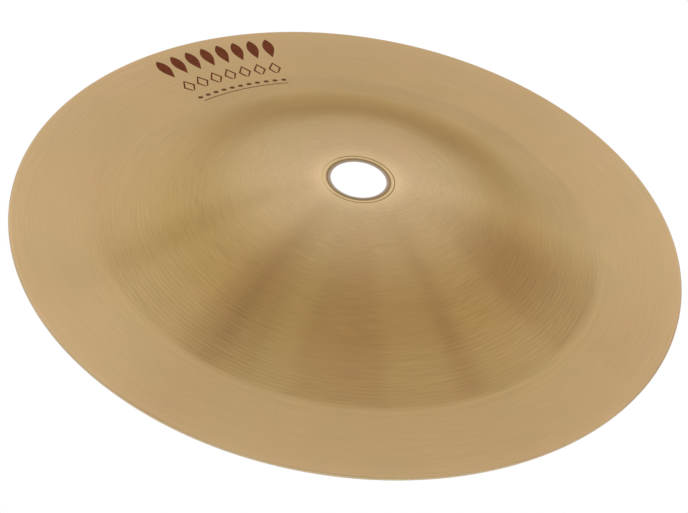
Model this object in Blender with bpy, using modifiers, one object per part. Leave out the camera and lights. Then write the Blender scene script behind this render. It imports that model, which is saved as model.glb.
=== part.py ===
# Cup chime: one turned bronze plate with a raised cup, a flat flange and a centre hole.
# Units are metres, +Z is up, and the rim rests on the plane z = 0 with its axis on Z.
# Run with: blender --background --python part.py

import math

import bmesh
import bpy

MM = 0.001

# Driving dimensions
RIM_RADIUS = 76.2 * MM  # a plate of 6 inches across
FLANGE_WIDTH = 18.0 * MM  # from the rim in to the fine ring line where the cup ends
FLANGE_DROP = 0.7 * MM  # the flange falls this much from the ring line to the rim
HOLLOW_RADIUS = 9.0 * MM  # tight hollow curve just inside the ring line
FLARE_RADIUS = 113.0 * MM  # easy hollow curve that leads the cup's flank out to the tight one
FLARE_END_ANGLE = math.radians(16.0)  # slope where the easy curve meets the tight one
FLANK_ANGLE = math.radians(25.5)  # slope of the short straight flank, where the cup is steepest
CROWN_RADIUS = 50.0 * MM  # full curve between the flat crown and the flank

HOLE_RADIUS = 6.25 * MM  # clear bore for a stand rod
LIP_WIDTH = 0.9 * MM  # shallow rounding of the bore's upper edge, measured outward from the bore
LIP_HEIGHT = 0.06 * MM  # the same rounding, measured down from the band
COUNTERSINK_WIDTH = 0.9 * MM  # bright turned band outside the rounding, on the upper face
COUNTERSINK_DEPTH = 0.02 * MM
SEAT_WIDTH = 1.55 * MM  # flat crown outside that band, where a felt washer bears
BORE_HEIGHT = 0.06 * MM  # straight part of the bore, under the rounding
UNDER_CHAMFER_WIDTH = 1.35 * MM  # from below, the bore is opened out so that it can't cut a sleeve

CROWN_THICKNESS = 1.15 * MM
RIM_THICKNESS = 0.9 * MM
EDGE_ROUNDING = 0.36 * MM  # both corners of the rim
REST_LAND_WIDTH = 1.5 * MM  # flat underside of the rim, which the plate rests on

# Fineness of the turned solid
TURN_STEPS = 96
CROWN_POINTS = 9
FLARE_POINTS = 6
HOLLOW_POINTS = 5
LIP_POINTS = 4
EDGE_POINTS = 3

BRONZE = {"name": "bronze", "color": (0.56, 0.40, 0.19, 1.0), "metallic": 1.0, "roughness": 0.34}


def clear_scene():
    for item in list(bpy.data.objects):
        bpy.data.objects.remove(item, do_unlink=True)


def new_collection(name):
    collection = bpy.data.collections.new(name)
    bpy.context.scene.collection.children.link(collection)
    return collection


def metal(look):
    material = bpy.data.materials.new(look["name"])
    material.use_nodes = True
    shader = material.node_tree.nodes["Principled BSDF"]
    shader.inputs["Base Color"].default_value = look["color"]
    shader.inputs["Metallic"].default_value = look["metallic"]
    shader.inputs["Roughness"].default_value = look["roughness"]
    material.diffuse_color = look["color"]
    return material


def steps(start, end, count):
    """Evenly spaced values from start to end, both included."""
    return [start + (end - start) * i / (count - 1) for i in range(count)]


def rounding(centre_r, centre_z, width, height, start, end, count):
    """Part of an ellipse about a centre, from one angle to another, as (r, z) points."""
    return [
        (centre_r + width * math.cos(a), centre_z + height * math.sin(a))
        for a in steps(start, end, count)
    ]


def fitted(size, room):
    """A rounding or curve at its own size, unless the wall or run it lies on is too short."""
    return min(size, room)


def flange_angle():
    return math.atan2(FLANGE_DROP, FLANGE_WIDTH)


def seat_radius():
    return HOLE_RADIUS + LIP_WIDTH + COUNTERSINK_WIDTH + SEAT_WIDTH


def edge_rounding():
    return fitted(EDGE_ROUNDING, 0.45 * RIM_THICKNESS)


def hollow(start_r, start_z, radius, slope_from, slope_to, count):
    """A hollow curve that climbs inward from (start_r, start_z), as (r, z, slope) stations."""
    return [
        (
            start_r - radius * (math.sin(slope) - math.sin(slope_from)),
            start_z + radius * (math.cos(slope_from) - math.cos(slope)),
            slope,
        )
        for slope in steps(slope_from, slope_to, count)
    ]


def upper_face():
    """The upper face from the flat crown out to the rim, as (r, z, slope) stations.

    It is laid out from the ring line inward: tight hollow, easy flare, straight flank, full crown.
    So the height of the crown follows from the curves and the flank between them.
    """
    ring_r = RIM_RADIUS - FLANGE_WIDTH
    ring_z = RIM_THICKNESS + FLANGE_DROP
    tight = hollow(ring_r, ring_z, HOLLOW_RADIUS, flange_angle(), FLARE_END_ANGLE, HOLLOW_POINTS)
    flare_r, flare_z, _ = tight[-1]
    flare = hollow(flare_r, flare_z, FLARE_RADIUS, FLARE_END_ANGLE, FLANK_ANGLE, FLARE_POINTS)

    flank_foot_r, flank_foot_z, _ = flare[-1]
    seat_r = seat_radius()
    crown_radius = fitted(CROWN_RADIUS, 0.95 * (flank_foot_r - seat_r) / math.sin(FLANK_ANGLE))
    flank_head_r = seat_r + crown_radius * math.sin(FLANK_ANGLE)
    flank_head_z = flank_foot_z + (flank_foot_r - flank_head_r) * math.tan(FLANK_ANGLE)

    crown_z = flank_head_z + crown_radius * (1.0 - math.cos(FLANK_ANGLE))
    crown = []
    for slope in steps(FLANK_ANGLE, 0.0, CROWN_POINTS):
        r = seat_r + crown_radius * math.sin(slope)
        z = crown_z - crown_radius * (1.0 - math.cos(slope))
        crown.append((r, z, slope))

    return list(reversed(tight + flare[1:] + crown))


def lower_face(upper):
    """The under face, as far below each station as the plate is thick there.

    The thickness runs evenly from the crown's to the one at the inner edge of the rest land.
    """
    land_r = RIM_RADIUS - edge_rounding() - REST_LAND_WIDTH
    slope_out = flange_angle()
    land_thickness = (RIM_THICKNESS + (RIM_RADIUS - land_r) * math.tan(slope_out)) * math.cos(slope_out)
    points = []
    for r, z, slope in upper:
        share = (r - seat_radius()) / (land_r - seat_radius())
        thickness = CROWN_THICKNESS + (land_thickness - CROWN_THICKNESS) * share
        points.append((r - thickness * math.sin(slope), z - thickness * math.cos(slope)))
    points.append((land_r, 0.0))
    return points


def plate_profile():
    """Closed outline of the plate's section at +X, down the outside and back under and up the bore."""
    upper = upper_face()
    lower = lower_face(upper)
    crown_z = upper[0][1]
    under_z = crown_z - CROWN_THICKNESS
    lip_r = HOLE_RADIUS + LIP_WIDTH
    sink_z = crown_z - COUNTERSINK_DEPTH
    wall = CROWN_THICKNESS - COUNTERSINK_DEPTH
    lip = fitted(LIP_HEIGHT, 0.45 * wall)
    bore_z = sink_z - lip - fitted(BORE_HEIGHT, 0.25 * wall)
    chamfer_r = HOLE_RADIUS + fitted(UNDER_CHAMFER_WIDTH, 0.9 * (seat_radius() - HOLE_RADIUS))
    edge = edge_rounding()
    edge_r = RIM_RADIUS - edge
    edge_z = RIM_THICKNESS + edge * (math.tan(flange_angle()) - 1.0)
    turn = math.pi / 2

    bore_top = rounding(lip_r, sink_z - lip, -LIP_WIDTH, lip, 0.0, turn, LIP_POINTS)
    band = [(lip_r + COUNTERSINK_WIDTH, crown_z)]
    outside = [(r, z) for r, z, _ in upper]
    rim_top = rounding(edge_r, edge_z, edge, edge, turn, 0.0, EDGE_POINTS)
    rim_foot = rounding(edge_r, edge, edge, -edge, 0.0, turn, EDGE_POINTS)
    inside = list(reversed(lower))
    bore_foot = [(chamfer_r, under_z), (HOLE_RADIUS, bore_z)]
    return bore_top + band + outside + rim_top + rim_foot + inside + bore_foot


def turned(name, profile, material, collection):
    """A closed section turned a full circle about Z."""
    mesh = bpy.data.meshes.new(name)
    section = bmesh.new()
    points = [section.verts.new((r, 0.0, z)) for r, z in profile]
    for start, end in zip(points, points[1:] + points[:1]):
        section.edges.new((start, end))
    section.to_mesh(mesh)
    section.free()

    item = bpy.data.objects.new(name, mesh)
    item.data.materials.append(material)
    collection.objects.link(item)
    screw = item.modifiers.new("turn", "SCREW")
    screw.axis = "Z"
    screw.angle = 2.0 * math.pi
    screw.steps = TURN_STEPS
    screw.render_steps = TURN_STEPS
    screw.use_merge_vertices = True
    screw.merge_threshold = 0.00001
    screw.use_smooth_shade = True
    return item


def shade_round(item, sharp_angle):
    """Turns the modifier into a mesh that is smooth except at its sharp turned lines."""
    graph = bpy.context.evaluated_depsgraph_get()
    mesh = bpy.data.meshes.new_from_object(item.evaluated_get(graph))
    item.modifiers.clear()
    item.data = mesh
    mesh.name = item.name
    mesh.shade_smooth()
    mesh.set_sharp_from_angle(angle=sharp_angle)


def main():
    clear_scene()
    parts = new_collection("cup_chime")
    plate = turned("chime_plate", plate_profile(), metal(BRONZE), parts)
    shade_round(plate, math.radians(30.0))


main()
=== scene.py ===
# Cup chime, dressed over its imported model: lathed bronze plate, printed border, pale floor, soft light.
# Metres, +Z up, the rim rests on z = 0. Clock positions round the plate are degrees from the near
# side (0), by the right (90), to the far side (180).
import math

import bmesh
import bpy
from mathutils import Matrix, Vector


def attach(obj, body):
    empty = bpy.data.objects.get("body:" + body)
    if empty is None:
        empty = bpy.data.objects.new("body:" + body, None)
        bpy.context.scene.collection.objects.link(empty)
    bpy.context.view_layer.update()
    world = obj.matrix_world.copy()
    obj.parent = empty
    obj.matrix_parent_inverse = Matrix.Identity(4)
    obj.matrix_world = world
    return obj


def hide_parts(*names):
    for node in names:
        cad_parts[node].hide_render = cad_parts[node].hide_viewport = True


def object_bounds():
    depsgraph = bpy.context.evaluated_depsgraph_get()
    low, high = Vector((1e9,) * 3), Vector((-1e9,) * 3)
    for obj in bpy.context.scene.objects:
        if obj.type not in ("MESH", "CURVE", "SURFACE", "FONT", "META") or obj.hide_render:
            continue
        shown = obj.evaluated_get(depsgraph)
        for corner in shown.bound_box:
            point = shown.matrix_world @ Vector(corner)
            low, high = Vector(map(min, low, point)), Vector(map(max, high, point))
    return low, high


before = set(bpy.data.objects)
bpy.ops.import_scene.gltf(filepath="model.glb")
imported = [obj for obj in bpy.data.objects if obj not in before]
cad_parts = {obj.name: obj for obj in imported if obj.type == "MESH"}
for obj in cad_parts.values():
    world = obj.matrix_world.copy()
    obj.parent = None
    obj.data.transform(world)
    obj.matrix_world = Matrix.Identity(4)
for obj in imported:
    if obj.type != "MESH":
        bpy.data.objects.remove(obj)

mm = 0.001
cadLow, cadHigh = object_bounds()
print("frame loaded, box in mm:", [round(side / mm, 2) for side in cadHigh - cadLow])

scene = bpy.context.scene
scene.view_settings.view_transform = "Standard"  # so that whites stay white, as in the photograph


# small helpers for meshes and nodes

white = (1.0, 1.0, 1.0, 1.0)


def stepsBetween(start, end, count):
    return [start + (end - start) * i / (count - 1) for i in range(count)]


def addNode(tree, kind, inputs=None, **settings):
    # inputs are sockets to link from, or plain values
    node = tree.nodes.new(kind)
    for name, value in settings.items():
        setattr(node, name, value)
    for name, value in (inputs or {}).items():
        if isinstance(value, bpy.types.NodeSocket):
            tree.links.new(value, node.inputs[name])
        else:
            node.inputs[name].default_value = value
    return node


def maths(tree, operation, *values):
    return addNode(tree, "ShaderNodeMath", dict(enumerate(values)), operation=operation).outputs[0]


def vectorMaths(tree, operation, *values):
    node = addNode(tree, "ShaderNodeVectorMath", dict(enumerate(values)), operation=operation)
    return node.outputs["Value" if operation in ("DOT_PRODUCT", "LENGTH") else "Vector"]


def eased(tree, value, low, high, atLow=0.0, atHigh=1.0):
    # atLow up to low, atHigh from high on, with a smooth change between
    inputs = {"Value": value, "From Min": low, "From Max": high, "To Min": atLow, "To Max": atHigh}
    node = addNode(tree, "ShaderNodeMapRange", inputs, interpolation_type="SMOOTHSTEP")
    return node.outputs["Result"]


def noise(tree, vector, scale=1.0, detail=2.0, roughness=0.5):
    inputs = {"Vector": vector, "Scale": scale, "Detail": detail, "Roughness": roughness}
    return addNode(tree, "ShaderNodeTexNoise", inputs, noise_dimensions="3D").outputs[0]


def throughStops(tree, value, stops, reach, easing="LINEAR"):
    # a ramp through (value, grey or color) stops, for values from 0 to reach
    ramp = addNode(tree, "ShaderNodeValToRGB", {0: maths(tree, "DIVIDE", value, reach)})
    ramp.color_ramp.interpolation = easing
    elements = ramp.color_ramp.elements
    while len(elements) < len(stops):
        elements.new(1.0)
    for element, (place, tone) in zip(elements, stops):
        element.position = place / reach
        element.color = (*tone, 1.0) if isinstance(tone, tuple) else (tone, tone, tone, 1.0)
    return ramp.outputs[0]


def towards(around):
    # direction from the axis to a clock position in degrees
    a = math.radians(around)
    return (math.sin(a), -math.cos(a), 0.0)


def mixed(tree, share, first, second):
    # a color between two, each a socket or four numbers
    node = addNode(tree, "ShaderNodeMix", {0: share, 6: first, 7: second}, data_type="RGBA")
    return node.outputs[2]


def newMaterial(name):
    material = bpy.data.materials.new(name)
    material.use_nodes = True
    return material, material.node_tree, material.node_tree.nodes["Principled BSDF"]


def newPiece(name, mesh, material):
    piece = bpy.data.objects.new(name, mesh)
    piece.data.materials.append(material)
    scene.collection.objects.link(piece)
    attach(piece, "root")
    return piece


# camera, as in the photograph

camera = {
    "distance": 609.6 * mm,  # from the middle of the rim's top, eight times the rim's radius
    "rimTop": 0.9 * mm,
    "elevation": 39.80,
    "pitch": 40.27,  # looks a little below the rim's middle
    "roll": 10.19,  # the plate leans to the right
    "focal": 141.7,
    "sensor": 36.0,
    "clip": (0.01, 20.0),
    "imageSize": (688, 513),
    "axisPixel": (344.8, 256.1),  # where the lens axis meets the photograph
}


def towardCamera():
    e = math.radians(camera["elevation"])
    return Vector((0.0, -math.cos(e), math.sin(e)))


def makeCamera():
    data = bpy.data.cameras.new("camera")
    data.lens = camera["focal"]
    data.sensor_width = camera["sensor"]
    data.clip_start, data.clip_end = camera["clip"]
    wide, high = camera["imageSize"]
    data.shift_x = (wide / 2 - camera["axisPixel"][0]) / wide
    data.shift_y = (camera["axisPixel"][1] - high / 2) / wide
    item = bpy.data.objects.new("camera", data)
    scene.collection.objects.link(item)
    pitch = Matrix.Rotation(math.pi / 2 - math.radians(camera["pitch"]), 4, "X")
    roll = Matrix.Rotation(math.radians(camera["roll"]), 4, "Z")
    place = towardCamera() * camera["distance"] + Vector((0.0, 0.0, camera["rimTop"]))
    item.matrix_world = Matrix.Translation(place) @ (pitch @ roll)
    scene.camera = item


makeCamera()
print("camera placed")


# the plate: its section drawn from the dimensions below and the imported model's rim radius, turned finely,
# with its tool marks

plate = {
    "flangeWidth": 18.0 * mm,
    "flangeDrop": 0.7 * mm,
    "hollowRadius": 9.0 * mm,  # tight hollow curve just inside the ring line
    "flareRadius": 113.0 * mm,
    "flareEndAngle": 16.0,  # slope where the flare meets the tight hollow
    "flankAngle": 25.5,
    "crownRadius": 50.0 * mm,
    "holeRadius": 6.25 * mm,
    "lipWidth": 0.9 * mm,
    "lipHeight": 0.06 * mm,
    "bandWidth": 0.9 * mm,  # bright countersunk band round the hole
    "bandDepth": 0.02 * mm,
    "seatWidth": 1.55 * mm,
    "boreHeight": 0.06 * mm,
    "underChamfer": 1.35 * mm,
    "crownThickness": 1.15 * mm,
    "rimThickness": 0.9 * mm,
    "edgeRounding": 0.36 * mm,
    "restWidth": 1.5 * mm,
    "restStep": 0.3 * mm,  # from the land inward to the underside's first ring
    "ringBead": 0.042 * mm,  # low bead beside the ring line
    "ringBeadWidth": 0.6 * mm,
    "ringBeadOut": 0.3 * mm,  # from the ring line to the bead's top
    "scribeDepth": 0.05 * mm,  # fine scribed line outside the band
    "scribeWidth": 0.24 * mm,
    "grooveDepth": 0.03 * mm,  # dark turned groove in the hole's lip
    "grooveWidth": 0.4 * mm,
    "grooveOut": 0.78 * mm,  # from the bore to the groove's middle
    "turnSteps": 240,
    "sharpAngle": 35.0,
    # points along the section; the zone round the ring line has its own, closer ones
    "lipPoints": 25,
    "facePoints": 130,
    "ringPoints": 31,
    "ringZoneIn": 2.0 * mm,
    "ringZoneOut": 4.0 * mm,
    "flangePoints": 24,
    "edgePoints": 8,
    "underPoints": 72,
    "chamferPoints": 5,
}
rimRadius = (cadHigh.x - cadLow.x) / 2
ringRadius = rimRadius - plate["flangeWidth"]
bandRadius = plate["holeRadius"] + plate["lipWidth"] + plate["bandWidth"]
seatRadius = bandRadius + plate["seatWidth"]
flangeAngle = math.atan2(plate["flangeDrop"], plate["flangeWidth"])
flareEnd = math.radians(plate["flareEndAngle"])
flankAngle = math.radians(plate["flankAngle"])
ringHeight = plate["rimThickness"] + plate["flangeDrop"]


# where the curves and the flank start, from the ring line inward
flareRadius = ringRadius - plate["hollowRadius"] * (math.sin(flareEnd) - math.sin(flangeAngle))
flareHeight = ringHeight + plate["hollowRadius"] * (math.cos(flangeAngle) - math.cos(flareEnd))
flankFootRadius = flareRadius - plate["flareRadius"] * (math.sin(flankAngle) - math.sin(flareEnd))
flankFootHeight = flareHeight + plate["flareRadius"] * (math.cos(flareEnd) - math.cos(flankAngle))
flankHeadRadius = seatRadius + plate["crownRadius"] * math.sin(flankAngle)
flankHeadHeight = flankFootHeight + (flankFootRadius - flankHeadRadius) * math.tan(flankAngle)
crownHeight = flankHeadHeight + plate["crownRadius"] * (1.0 - math.cos(flankAngle))


def hollowHeight(radius, startRadius, startHeight, curve, slopeFrom):
    # a hollow curve that climbs inward from its start
    sine = math.sin(slopeFrom) + (startRadius - radius) / curve
    return startHeight + curve * (math.cos(slopeFrom) - math.sqrt(1.0 - sine * sine))


def faceHeight(radius):
    # height of the plate's upper face, without tool marks
    if radius >= ringRadius:
        return ringHeight - (radius - ringRadius) * math.tan(flangeAngle)
    if radius >= flareRadius:
        return hollowHeight(radius, ringRadius, ringHeight, plate["hollowRadius"], flangeAngle)
    if radius >= flankFootRadius:
        return hollowHeight(radius, flareRadius, flareHeight, plate["flareRadius"], flareEnd)
    if radius >= flankHeadRadius:
        return flankFootHeight + (flankFootRadius - radius) * math.tan(flankAngle)
    sine = max(radius - seatRadius, 0.0) / plate["crownRadius"]
    return crownHeight - plate["crownRadius"] * (1.0 - math.sqrt(1.0 - sine * sine))


def faceSlope(radius):
    reach = 0.05 * mm
    return math.atan2(faceHeight(radius - reach) - faceHeight(radius + reach), 2 * reach)


def toolMarks(radius):
    # what the lathe adds to the upper face: a bead by the ring line, a scribed line by the band
    beadPlace = (radius - ringRadius - plate["ringBeadOut"]) / plate["ringBeadWidth"]
    scribePlace = abs(radius - bandRadius) / (0.5 * plate["scribeWidth"])
    bead = plate["ringBead"] * math.exp(-beadPlace * beadPlace)
    scribe = plate["scribeDepth"] * max(0.0, 1.0 - scribePlace)
    return bead - scribe


def lipHeight(radius):
    # the lip's shallow rounding, from the bore to the band, with its groove
    out = (radius - plate["holeRadius"]) / plate["lipWidth"]
    fall = plate["lipHeight"] * (1.0 - math.sqrt(1.0 - (1.0 - out) ** 2))
    groovePlace = abs(radius - plate["holeRadius"] - plate["grooveOut"]) / (0.5 * plate["grooveWidth"])
    groove = plate["grooveDepth"] * max(0.0, 1.0 - groovePlace ** 2)
    return crownHeight - plate["bandDepth"] - fall - groove


def plateOutline():
    # closed section at +X: bore's upper lip, face, rim, underside, bore's lower lip
    edge = plate["edgeRounding"]
    edgeRadius = rimRadius - edge
    landRadius = edgeRadius - plate["restWidth"]
    lipRadius = plate["holeRadius"] + plate["lipWidth"]
    topOfLip = crownHeight - plate["bandDepth"] - plate["lipHeight"]
    footOfLip = topOfLip - plate["boreHeight"]
    underside = crownHeight - plate["crownThickness"]
    outline = []
    for share in stepsBetween(0.0, 1.0, plate["lipPoints"]):
        r = plate["holeRadius"] + plate["lipWidth"] * share * share
        outline.append((r, lipHeight(r)))
    for share in (0.25, 0.5, 0.75, 0.9, 0.95, 1.0):
        r = lipRadius + share * plate["bandWidth"]
        outline.append((r, crownHeight - plate["bandDepth"] * (1.0 - share) + toolMarks(r)))
    scribeEnd = bandRadius + plate["scribeWidth"] / 2
    ringZone = (ringRadius - plate["ringZoneIn"], ringRadius + plate["ringZoneOut"])
    for r in stepsBetween(bandRadius, scribeEnd, 4)[1:-1]:
        outline.append((r, crownHeight + toolMarks(r)))
    face = stepsBetween(scribeEnd, ringZone[0], plate["facePoints"])
    face += stepsBetween(*ringZone, plate["ringPoints"])[1:]
    face += stepsBetween(ringZone[1], edgeRadius, plate["flangePoints"])[1:]
    outline += [(r, faceHeight(r) + toolMarks(r)) for r in face]
    edgeHeight = faceHeight(edgeRadius) - edge
    for a in stepsBetween(math.pi / 2 - flangeAngle, 0.0, plate["edgePoints"])[1:]:
        outline.append((edgeRadius + edge * math.cos(a), edgeHeight + edge * math.sin(a)))
    for a in stepsBetween(0.0, math.pi / 2, plate["edgePoints"]):
        outline.append((edgeRadius + edge * math.cos(a), edge - edge * math.sin(a)))
    outline.append((landRadius, 0.0))
    landThickness = faceHeight(landRadius) * math.cos(flangeAngle)
    for r in reversed(stepsBetween(seatRadius, landRadius - plate["restStep"], plate["underPoints"])):
        share = (r - seatRadius) / (landRadius - seatRadius)
        thick = plate["crownThickness"] + (landThickness - plate["crownThickness"]) * share
        slope = faceSlope(r)
        outline.append((r - thick * math.sin(slope), faceHeight(r) - thick * math.cos(slope)))
    for share in stepsBetween(1.0, 0.0, plate["chamferPoints"]):
        r = plate["holeRadius"] + share * plate["underChamfer"]
        outline.append((r, footOfLip + share * (underside - footOfLip)))
    return outline


def turnedMesh(name, outline, count):
    # a closed section turned a full circle about Z, joined to itself
    mesh = bpy.data.meshes.new(name)
    work = bmesh.new()
    rings = []
    for step in range(count):
        a = 2.0 * math.pi * step / count
        rings.append([work.verts.new((r * math.cos(a), r * math.sin(a), z)) for r, z in outline])
    for here, there in zip(rings, rings[1:] + rings[:1]):
        for i in range(len(outline)):
            j = (i + 1) % len(outline)
            work.faces.new((here[i], here[j], there[j], there[i]))
    bmesh.ops.recalc_face_normals(work, faces=work.faces)
    work.to_mesh(mesh)
    work.free()
    mesh.shade_smooth()
    mesh.set_sharp_from_angle(angle=math.radians(plate["sharpAngle"]))
    return mesh


rampEnd = 80.0  # millimetres from the axis, just past the rim
lipRampEnd = 10.0
bronze = {
    "color": (0.922, 0.64, 0.354),
    # tone from the hole to the rim, as millimetres from the axis and a share of the color; partly the
    # metal's own tone, partly painted light: a painted highlight round the hole, a painted reflection line
    # on the rounded rim edge, and darker across the flank
    "tonesAndPaintedLight": (
        (8.3, 1.15), (9.2, 1.10), (10.6, 1.01), (12.6, 0.93), (18.0, 0.90), (24.0, 0.885), (28.5, 0.845),
        (35.0, 0.745), (41.0, 0.78), (47.0, 0.825), (57.4, 0.81), (59.3, 0.84), (66.0, 0.855), (72.0, 0.88),
        (75.6, 0.925), (75.95, 1.09), (76.12, 0.92),
    ),
    # painted shading on the far side alone: painted shade darkens the flank there and painted light
    # brightens the flare
    "farPaintedShading": (
        (20.0, (1.0, 1.0, 1.0)), (24.0, (0.985, 0.98, 0.94)), (28.0, (0.885, 0.875, 0.80)),
        (32.0, (0.90, 0.885, 0.84)), (37.5, (1.0, 1.02, 1.0)), (43.0, (1.12, 1.16, 1.18)),
        (47.0, (1.16, 1.20, 1.27)), (51.0, (1.06, 1.08, 1.10)), (55.0, (1.0, 1.0, 1.0)),
    ),
    "farSide": 174.0,  # clock position of its middle
    "farSideFade": (0.55, 0.92),  # cosines of the turn from there, where the painted shading starts and is full
    # hue from the hole to the rim: pinker crown and flange, yellower flank; the bluer stop on the rounded
    # rim edge colours the painted reflection line there
    "hues": (
        (10.5, (0.98, 1.0, 1.04)), (16.5, (1.0, 1.0, 0.99)), (22.5, (0.99, 1.0, 0.95)),
        (28.5, (1.01, 1.0, 0.865)), (34.5, (1.05, 1.0, 0.78)), (41.0, (1.04, 1.0, 0.78)),
        (47.5, (1.02, 1.0, 0.85)), (53.5, (1.02, 1.0, 0.865)), (62.0, (1.01, 1.0, 0.915)),
        (72.0, (1.01, 1.0, 0.96)), (75.6, (1.01, 1.0, 0.97)), (75.95, (0.96, 1.0, 1.12)),
        (76.15, (0.93, 1.0, 0.98)),
    ),
    # the hole's lip: grey at the bore, dark brown in the groove, a painted highlight on the band
    "lip": (
        (6.2, (0.67, 0.74, 1.0)), (6.6, (0.55, 0.60, 0.80)), (6.85, (0.46, 0.46, 0.52)),
        (7.05, (0.34, 0.31, 0.28)), (7.25, (0.54, 0.49, 0.41)), (7.42, (0.92, 0.88, 0.84)),
        (7.6, (1.06, 1.04, 0.98)), (8.2, (1.0, 1.0, 1.0)),
    ),
    "scribe": 8.06,  # fine scribed line round the band
    "scribeWidth": 0.15,
    "scribeTone": (0.32, 0.26, 0.17),
    "scribeLeft": 0.2,  # share of it that shows on the left
    "scribeFade": (-0.9, -0.5),  # from -1 at the left, where that share starts to grow and is whole
    # the crown was turned by hand and is duller than the spun flare
    "roughness": (
        (8.0, 0.27), (30.0, 0.275), (36.0, 0.26), (43.0, 0.20), (55.5, 0.19), (59.0, 0.265), (76.0, 0.275),
    ),
    "anisotropy": 0.97,  # fine turning marks stretch each highlight across them
    "grain": 0.25,  # turn of the stretch, as a share of a full circle
    # chance marks: how many to a millimetre across them, and how often they break round the plate
    "lines": (2.5, 6.0),
    "fineLines": (5.0, 13.0),
    "broadRings": (0.16, 0.6),
    "linePatches": (0.10, 3.0),
    "linePatchEdge": (-0.08, 0.10),  # noise levels between which a patch comes up
    "fineShare": 0.45,
    "lineLeast": 0.55,  # share of the lines between the patches, and in them
    "lineMost": 1.05,
    "lineDepth": 14.0e-6,
    "lineTone": 0.24,  # how much the lines darken and lighten the metal
    "lineReach": (
        (8.0, 0.8), (16.0, 0.95), (24.0, 1.1), (31.0, 1.0),
        (44.0, 1.0), (56.0, 0.9), (60.0, 0.5), (76.0, 0.55),
    ),
    "farLines": 0.95,  # share of the lines that shows on the far side
    "farLinesFade": (-0.2, 0.8),  # how far back that starts and is full, from -1 near to 1 far
    # even tool marks
    "feed": 0.90,  # millimetres from one to the next
    "evenDepth": 0.22,
    "evenSideFade": (0.4, 1.6),  # shares of a patch's half width where it starts to fade and is gone
    "evenInnerFade": 2.0,  # millimetres to either side, over which it ends inward and outward
    "evenOuterFade": 1.0,
    "sway": 4.0,  # radians by which they stray
    "swayPatches": (0.3, 6.0),
    "breaks": (1.2, 16.0),
    "breakEdge": (-0.15, 0.15),
    "breakLeast": 0.2,
    "breakMost": 1.4,
    # slow changes of the tone, and of the hue
    "ringTone": 0.06,
    "ringRoughness": 0.04,
    "mottle": 0.06,
    "mottleScale": 55.0,
    "blush": 0.16,  # drift of the hue from greenish to pinkish, in patches of some centimetres
    "blushScale": 42.0,
}
evenMarks = {
    # name: clock position, half width in degrees, radii from and to, strength
    "lowerLeft": (324.0, 14.0, 40.0, 56.5, 0.75),
    "left": (296.0, 14.0, 46.0, 62.0, 0.4),
    "bottom": (2.0, 22.0, 50.0, 57.0, 0.6),
    "lowerRight": (52.0, 18.0, 30.0, 56.0, 0.5),
    "right": (86.0, 14.0, 36.0, 57.0, 0.4),
}


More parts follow.
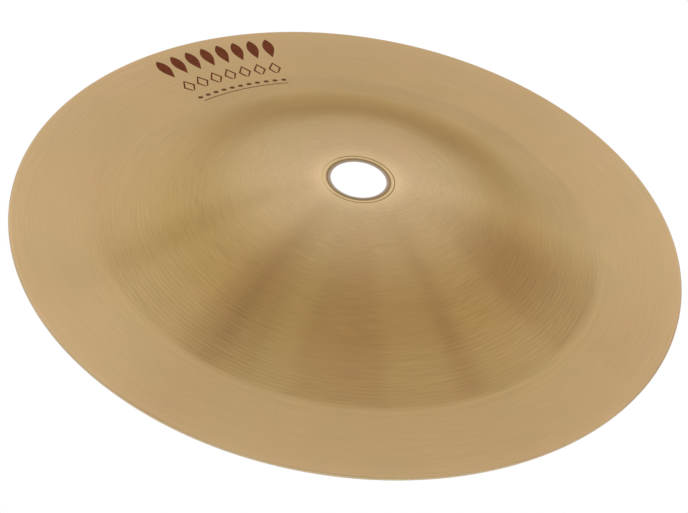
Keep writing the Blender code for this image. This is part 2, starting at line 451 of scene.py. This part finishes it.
def bronzeMaterial():
    material, tree, shader = newMaterial("lathedBronze")
    place = addNode(tree, "ShaderNodeTexCoord").outputs["Object"]
    flat = vectorMaths(tree, "MULTIPLY", place, (1.0, 1.0, 0.0))
    radius = maths(tree, "DIVIDE", vectorMaths(tree, "LENGTH", flat), mm)  # in millimetres
    outward = vectorMaths(tree, "NORMALIZE", flat)
    rightward, farward, _ = addNode(tree, "ShaderNodeSeparateXYZ", {0: outward}).outputs

    def turnedNoise(perMm, arcs):
        # long in the way that the lathe turns, fine across it; evened out about 0
        across = maths(tree, "MULTIPLY", radius, perMm)
        alongX = maths(tree, "MULTIPLY", rightward, arcs)
        alongY = maths(tree, "MULTIPLY", farward, arcs)
        vector = addNode(tree, "ShaderNodeCombineXYZ", {0: across, 1: alongX, 2: alongY}).outputs[0]
        return maths(tree, "SUBTRACT", noise(tree, vector, detail=1.0), 0.5)

    def patchyNoise(scale):
        return maths(tree, "SUBTRACT", noise(tree, place, scale, detail=3.0, roughness=0.6), 0.5)

    def alongRadius(name):
        return throughStops(tree, radius, bronze[name], rampEnd)

    lines = turnedNoise(*bronze["lines"])
    fineLines = turnedNoise(*bronze["fineLines"])
    broadRings = turnedNoise(*bronze["broadRings"])
    linePatches = turnedNoise(*bronze["linePatches"])
    presence = eased(tree, linePatches, *bronze["linePatchEdge"], bronze["lineLeast"], bronze["lineMost"])
    presence = maths(tree, "MULTIPLY", presence, alongRadius("lineReach"))
    onFarSide = eased(tree, farward, *bronze["farLinesFade"], 1.0, bronze["farLines"])
    presence = maths(tree, "MULTIPLY", presence, onFarSide)

    # even tool marks, in patches
    sway = maths(tree, "MULTIPLY", turnedNoise(*bronze["swayPatches"]), bronze["sway"])
    wave = maths(tree, "SINE", maths(tree, "MULTIPLY_ADD", radius, 2 * math.pi / bronze["feed"], sway))
    patches = 0.0
    for around, halfWidth, radiusFrom, radiusTo, strength in evenMarks.values():
        turn = vectorMaths(tree, "DOT_PRODUCT", outward, towards(around))
        full, gone = [math.cos(math.radians(halfWidth * share)) for share in bronze["evenSideFade"]]
        inner, outer = bronze["evenInnerFade"], bronze["evenOuterFade"]
        patch = eased(tree, turn, gone, full, 0.0, bronze["evenDepth"] * strength)
        starts = eased(tree, radius, radiusFrom - inner, radiusFrom + inner)
        ends = eased(tree, radius, radiusTo - outer, radiusTo + outer, 1.0, 0.0)
        patch = maths(tree, "MULTIPLY", maths(tree, "MULTIPLY", patch, starts), ends)
        patches = maths(tree, "ADD", patch, patches)
    breaks = turnedNoise(*bronze["breaks"])
    broken = eased(tree, breaks, *bronze["breakEdge"], bronze["breakLeast"], bronze["breakMost"])
    even = maths(tree, "MULTIPLY", maths(tree, "MULTIPLY", wave, patches), broken)

    marks = maths(tree, "MULTIPLY_ADD", fineLines, bronze["fineShare"], lines)
    marks = maths(tree, "ADD", maths(tree, "MULTIPLY", marks, presence), even)
    bump = addNode(tree, "ShaderNodeBump", {"Height": marks, "Distance": bronze["lineDepth"]})
    tree.links.new(bump.outputs[0], shader.inputs["Normal"])

    # tone along the radius, with its painted highlight round the hole and painted reflection line on the
    # rim edge
    tone = alongRadius("tonesAndPaintedLight")
    toneChanges = (
        (marks, bronze["lineTone"]),
        (patchyNoise(bronze["mottleScale"]), bronze["mottle"]),
        (broadRings, bronze["ringTone"]),
    )
    for pattern, strength in toneChanges:
        tone = maths(tree, "MULTIPLY", tone, maths(tree, "MULTIPLY_ADD", pattern, strength, 1.0))

    # lip colours, with a painted highlight on the band round the hole
    lip = throughStops(tree, radius, bronze["lip"], lipRampEnd)
    offLine = maths(tree, "ABSOLUTE", maths(tree, "SUBTRACT", radius, bronze["scribe"]))
    onLine = eased(tree, offLine, 0.3 * bronze["scribeWidth"], bronze["scribeWidth"], 1.0, 0.0)
    offLeft = eased(tree, rightward, *bronze["scribeFade"], bronze["scribeLeft"], 1.0)
    onLine = maths(tree, "MULTIPLY", onLine, offLeft)
    scribed = mixed(tree, onLine, white, (*bronze["scribeTone"], 1.0))

    # painted shade on the far flank and painted light on the far flare, by clock position
    farness = vectorMaths(tree, "DOT_PRODUCT", outward, towards(bronze["farSide"]))
    paintedShadingShare = eased(tree, farness, *bronze["farSideFade"])
    paintedFarShading = mixed(tree, paintedShadingShare, white, alongRadius("farPaintedShading"))

    drift = patchyNoise(bronze["blushScale"])
    redder = maths(tree, "MULTIPLY_ADD", drift, bronze["blush"], 1.0)
    bluer = maths(tree, "MULTIPLY_ADD", drift, 0.5 * bronze["blush"], 1.0)
    blush = addNode(tree, "ShaderNodeCombineXYZ", {0: redder, 1: 1.0, 2: bluer}).outputs[0]

    color = lip
    for factor in (scribed, alongRadius("hues"), paintedFarShading, blush, bronze["color"]):
        color = vectorMaths(tree, "MULTIPLY", color, factor)
    color = vectorMaths(tree, "SCALE", color)
    tree.links.new(tone, color.node.inputs["Scale"])
    tree.links.new(color, shader.inputs["Base Color"])

    rough = maths(tree, "MULTIPLY_ADD", broadRings, bronze["ringRoughness"], alongRadius("roughness"))
    tree.links.new(rough, shader.inputs["Roughness"])
    shader.inputs["Metallic"].default_value = 1.0
    shader.inputs["Anisotropic"].default_value = bronze["anisotropy"]
    shader.inputs["Anisotropic Rotation"].default_value = bronze["grain"]
    tangent = addNode(tree, "ShaderNodeTangent", direction_type="RADIAL", axis="Z")
    tree.links.new(tangent.outputs[0], shader.inputs["Tangent"])
    return material


plateMesh = turnedMesh("bronze_plate", plateOutline(), plate["turnSteps"])
platePiece = newPiece("bronze_plate", plateMesh, bronzeMaterial())
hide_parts("chime_plate")
print("plate turned, faces:", len(plateMesh.polygons))


# printed border on the flange: plain geometric shapes in maroon ink

printing = {
    "middle": 214.6,  # clock position of the border's middle
    "film": 0.02 * mm,  # the ink stands this proud
    "fillEnd": 0.02,  # a filled shape narrows to this share of itself, and one face closes it
    "petals": 8,
    "petalStep": 3.3,  # degrees between petals
    "petalInner": 65.5 * mm,
    "petalOuter": 73.0 * mm,
    "petalWidth": 2.7 * mm,
    "petalPoints": 14,
    "lozenges": 7,
    "lozengeStep": 3.6,
    "lozengeRadius": 60.9 * mm,
    "lozengeLength": 5.0 * mm,
    "lozengeWidth": 3.2 * mm,
    "lozengeLine": 0.42 * mm,
    "dots": 11,
    "dotStep": 2.3,
    "dotRadius": 55.6 * mm,
    "dotSize": 0.62 * mm,
    "dotPoints": 16,
    "lineRadius": 53.4 * mm,
    "lineWidth": 0.3 * mm,
    "lineReach": 12.0,  # degrees to either side of the middle
    "linePoints": 61,
    "color": (0.235, 0.05, 0.012),
    "coverScale": 1400.0,  # how fine the patches of thinner and thicker ink are
    "coverEdge": (0.3, 0.7),
    "coverLeast": 0.85,
    "coverMost": 1.15,
    "grainScale": 2500.0,
    "grainDepth": 3.0e-6,
    "roughness": 0.5,
    "specular": 0.12,
}


def inkMaterial():
    material, tree, shader = newMaterial("maroonInk")
    place = addNode(tree, "ShaderNodeTexCoord").outputs["Object"]
    cover = noise(tree, place, printing["coverScale"], detail=2.0)
    cover = eased(tree, cover, *printing["coverEdge"], printing["coverLeast"], printing["coverMost"])
    color = vectorMaths(tree, "SCALE", printing["color"])
    tree.links.new(cover, color.node.inputs["Scale"])
    tree.links.new(color, shader.inputs["Base Color"])
    grain = noise(tree, place, printing["grainScale"], detail=1.0)
    bump = addNode(tree, "ShaderNodeBump", {"Height": grain, "Distance": printing["grainDepth"]})
    tree.links.new(bump.outputs[0], shader.inputs["Normal"])
    shader.inputs["Roughness"].default_value = printing["roughness"]
    shader.inputs["Specular IOR Level"].default_value = printing["specular"]
    return material


def onPlate(around, radius, lift):
    # a point over the upper face, from a clock position in degrees
    a = math.radians(around)
    return Vector((radius * math.sin(a), -radius * math.cos(a), faceHeight(radius) + lift))


def between(a, b, share):
    return (a[0] + (b[0] - a[0]) * share, a[1] + (b[1] - a[1]) * share)


def addInk(work, outer, inner=None, rings=1):
    # closed film between two outlines of (around, radius) points; without inner, it fills outer
    filled = inner is None
    if filled:
        core = tuple(sum(p[k] for p in outer) / len(outer) for k in (0, 1))
        inner = [between(core, p, printing["fillEnd"]) for p in outer]
    loops = []
    for share in stepsBetween(0.0, 1.0, rings + 1):
        loops.append([between(a, b, share) for a, b in zip(outer, inner)])
    top = [[work.verts.new(onPlate(p[0], p[1], printing["film"])) for p in loop] for loop in loops]
    foot = [[work.verts.new(onPlate(p[0], p[1], -printing["film"])) for p in loop] for loop in loops]
    count = len(outer)

    def bridge(here, there):
        for i in range(count):
            j = (i + 1) % count
            work.faces.new((here[i], here[j], there[j], there[i]))

    for layer in (top, foot):
        for here, there in zip(layer, layer[1:]):
            bridge(here, there)
        if filled:
            work.faces.new(layer[-1])
    bridge(top[0], foot[0])
    if not filled:
        bridge(top[-1], foot[-1])


def clockDegrees(length, radius):
    return math.degrees(length / radius)


def petalOutline(around):
    # a leaf: widest above its middle, pointed at both ends
    low, high, wide = printing["petalInner"], printing["petalOuter"], printing["petalWidth"]
    side = []
    for share in stepsBetween(0.0, 1.0, printing["petalPoints"]):
        half = 0.5 * wide * math.sin(math.pi * share ** 1.25) ** 0.8
        side.append((half, low + (high - low) * share))
    left = [(around - clockDegrees(half, r), r) for half, r in side]
    right = [(around + clockDegrees(half, r), r) for half, r in reversed(side[1:-1])]
    return left + right


def lozengeOutline(around, line):
    # with a line's width, it gives that line's inner outline; the line is thinner at the long tips
    radius = printing["lozengeRadius"]
    tall = printing["lozengeLength"] / 2 - 1.5 * line
    wide = printing["lozengeWidth"] / 2 - 1.2 * line
    corners = [(0.0, -tall), (wide, 0.0), (0.0, tall), (-wide, 0.0)]
    points = []
    for a, b in zip(corners, corners[1:] + corners[:1]):
        for share in (0.0, 0.25, 0.5, 0.75):
            across, up = between(a, b, share)
            points.append((around + clockDegrees(across, radius), radius + up))
    return points


def dotOutline(around):
    radius, size = printing["dotRadius"], printing["dotSize"]
    turns = stepsBetween(0.0, 2 * math.pi, printing["dotPoints"] + 1)[:-1]
    return [(around + clockDegrees(size * math.cos(a), radius), radius + size * math.sin(a)) for a in turns]


def spread(count, step):
    return [printing["middle"] + step * (i - (count - 1) / 2) for i in range(count)]


def addArc(work):
    # the thin line along the border's inner side
    middle, reach = printing["middle"], printing["lineReach"]
    turns = stepsBetween(middle - reach, middle + reach, printing["linePoints"])
    low = [(a, printing["lineRadius"]) for a in turns]
    high = [(a, printing["lineRadius"] + printing["lineWidth"]) for a in turns]
    strips = []
    for row in (low, high):
        strips.append([work.verts.new(onPlate(a, r, printing["film"])) for a, r in row])
    for row in (high, low):
        strips.append([work.verts.new(onPlate(a, r, -printing["film"])) for a, r in row])
    for here, there in zip(strips, strips[1:] + strips[:1]):
        for i in range(len(low) - 1):
            work.faces.new((here[i], here[i + 1], there[i + 1], there[i]))
    for end in (0, -1):
        work.faces.new([strip[end] for strip in strips])


def printedMesh():
    work = bmesh.new()
    for around in spread(printing["petals"], printing["petalStep"]):
        addInk(work, petalOutline(around), rings=3)
    for around in spread(printing["lozenges"], printing["lozengeStep"]):
        addInk(work, lozengeOutline(around, 0.0), lozengeOutline(around, printing["lozengeLine"]))
    for around in spread(printing["dots"], printing["dotStep"]):
        addInk(work, dotOutline(around), rings=2)
    addArc(work)
    bmesh.ops.recalc_face_normals(work, faces=work.faces)
    mesh = bpy.data.meshes.new("printed_border")
    work.to_mesh(mesh)
    work.free()
    return mesh


printedPiece = newPiece("printed_border", printedMesh(), inkMaterial())
print("border printed, faces:", len(printedPiece.data.polygons))


# pale floor

floor = {
    "size": 12.0,  # metres
    "below": 0.05 * mm,  # a hair under the rim
    "color": (0.30, 0.24, 0.12),
    "roughness": 0.8,
    "glow": 0.17,  # light that the floor throws up, away from the plate
    "glowFrom": 85.0 * mm,
    "glowTo": 150.0 * mm,
    "shade": 0.09,  # what is left of it under the rim
    "glowColor": (1.38, 1.0, 0.34),
    "pool": 0.58,  # what it adds close to the plate
    "poolFrom": 77.0 * mm,
    "poolTo": 81.0 * mm,
    "poolColor": (0.86, 1.0, 1.32),
    "seen": 1.0,  # brightness in the camera's eye, where it runs into the plain background
}


def makeFloor():
    material, tree, shader = newMaterial("paleFloor")
    shader.inputs["Base Color"].default_value = (*floor["color"], 1.0)
    shader.inputs["Roughness"].default_value = floor["roughness"]
    away = vectorMaths(tree, "LENGTH", addNode(tree, "ShaderNodeTexCoord").outputs["Object"])
    pool = eased(tree, away, floor["poolFrom"], floor["poolTo"], 1.0, 0.0)
    tint = mixed(tree, pool, (*floor["glowColor"], 1.0), (*floor["poolColor"], 1.0))
    tree.links.new(tint, shader.inputs["Emission Color"])
    glow = eased(tree, away, floor["glowFrom"], floor["glowTo"], floor["shade"], floor["glow"])
    strength = maths(tree, "MULTIPLY_ADD", pool, floor["pool"], glow)
    tree.links.new(strength, shader.inputs["Emission Strength"])
    plain = addNode(tree, "ShaderNodeEmission", {"Color": white, "Strength": floor["seen"]})
    seen = addNode(tree, "ShaderNodeLightPath").outputs["Is Camera Ray"]
    mix = addNode(tree, "ShaderNodeMixShader", {0: seen, 1: shader.outputs[0], 2: plain.outputs[0]})
    output = tree.nodes["Material Output"]
    tree.links.new(mix.outputs[0], output.inputs["Surface"])

    half = floor["size"] / 2
    mesh = bpy.data.meshes.new("floor")
    corners = [(-half, -half), (half, -half), (half, half), (-half, half)]
    mesh.from_pydata([(x, y, -floor["below"]) for x, y in corners], [], [(0, 1, 2, 3)])
    item = bpy.data.objects.new("floor", mesh)
    item.data.materials.append(material)
    scene.collection.objects.link(item)


makeFloor()
print("floor laid")


# soft light: what the bronze sees round it. The room is laid out by the metal that mirrors it to the
# camera: by that metal's slope, and by the clock position that it slopes towards.

studio = {
    # slope in degrees, and light there; flat metal mirrors the brightest part of the room
    "falloff": (
        (0.0, 0.70), (5.0, 0.685), (8.0, 0.67), (12.0, 0.61), (15.0, 0.54), (18.0, 0.46), (21.0, 0.40),
        (25.0, 0.36), (31.0, 0.34), (40.0, 0.42), (48.0, 0.62), (60.0, 0.66), (74.0, 0.62), (82.0, 0.45),
    ),
    # light, and its color; dim parts of the room are warm
    "warmth": (
        (0.28, (1.24, 1.0, 0.85)), (0.45, (1.075, 1.0, 0.79)),
        (0.60, (1.01, 1.0, 0.905)), (0.76, (1.0, 1.0, 1.0)),
    ),
    "edge": 4.0,  # degrees of slope, to either side, over which a softbox ends
}
softboxes = {
    # name: clock position, half width in degrees, soft share of its edge, slopes from and to, light
    "leftWall": (264.5, 34.5, 0.9, 13.2, 50.0, 0.19),
    "leftGlow": (267.0, 20.0, 0.9, 15.0, 50.0, 0.08),
    "rightWall": (112.0, 21.5, 1.2, 12.5, 50.0, 0.19),
    "rightFill": (80.0, 24.0, 0.9, 13.0, 21.5, 0.145),
    "rightDusk": (76.0, 18.0, 0.8, 25.0, 50.0, -0.05),
    "rightGlow": (110.0, 31.0, 0.8, -9.0, 5.0, 0.13),
    "leftFlat": (266.0, 32.0, 0.8, -9.0, 5.0, 0.04),
    "farWall": (185.0, 47.0, 0.8, 16.5, 30.0, 0.235),
    "leftStrip": (310.8, 11.5, 0.9, 8.0, 50.0, 0.155),
    "leftShade": (331.6, 2.5, 0.8, 14.0, 50.0, -0.085),
    "topStrip": (347.4, 5.0, 0.8, 14.0, 50.0, 0.068),
    "topShade": (9.0, 6.0, 0.8, 14.0, 50.0, -0.015),
    "frontStrip": (25.3, 9.3, 0.2, 16.0, 50.0, 0.058),
    "frontShade": (37.3, 2.6, 0.8, 14.0, 50.0, -0.03),
    "rightStrip": (52.0, 10.2, 0.45, 17.0, 50.0, 0.09),
    "rightDim": (54.0, 31.0, 0.9, 2.0, 13.0, -0.055),
    "nearFill": (345.0, 26.0, 0.9, 11.0, 19.0, 0.022),
}


def makeWorld():
    world = bpy.data.worlds.new("studio")
    scene.world = world
    world.use_nodes = True
    tree = world.node_tree
    background = tree.nodes["Background"]
    direction = vectorMaths(tree, "NORMALIZE", addNode(tree, "ShaderNodeTexCoord").outputs["Generated"])
    # metal that faces halfway between a direction and the camera mirrors the one to the other
    facing = vectorMaths(tree, "NORMALIZE", vectorMaths(tree, "ADD", direction, tuple(towardCamera())))
    upright = vectorMaths(tree, "DOT_PRODUCT", facing, (0.0, 0.0, 1.0))
    slope = maths(tree, "DEGREES", maths(tree, "ARCCOSINE", upright))
    outward = vectorMaths(tree, "NORMALIZE", vectorMaths(tree, "MULTIPLY", facing, (1.0, 1.0, 0.0)))

    light = throughStops(tree, slope, studio["falloff"], 90.0, "CARDINAL")
    edge = studio["edge"]
    for around, halfWidth, softness, slopeFrom, slopeTo, brightness in softboxes.values():
        turn = vectorMaths(tree, "DOT_PRODUCT", outward, towards(around))
        turn = maths(tree, "DEGREES", maths(tree, "ARCCOSINE", turn))
        full, gone = halfWidth * (1 - softness / 2), halfWidth * (1 + softness / 2)
        mask = eased(tree, turn, full, gone, brightness, 0.0)
        mask = maths(tree, "MULTIPLY", mask, eased(tree, slope, slopeFrom - edge, slopeFrom + edge))
        mask = maths(tree, "MULTIPLY", mask, eased(tree, slope, slopeTo - edge, slopeTo + edge, 1.0, 0.0))
        light = maths(tree, "ADD", light, mask)

    warmth = throughStops(tree, light, studio["warmth"], 1.0)
    color = vectorMaths(tree, "SCALE", warmth)
    tree.links.new(light, color.node.inputs["Scale"])
    seen = addNode(tree, "ShaderNodeLightPath").outputs["Is Camera Ray"]
    tree.links.new(mixed(tree, seen, color, white), background.inputs["Color"])


makeWorld()
print("light set, softboxes:", len(softboxes))
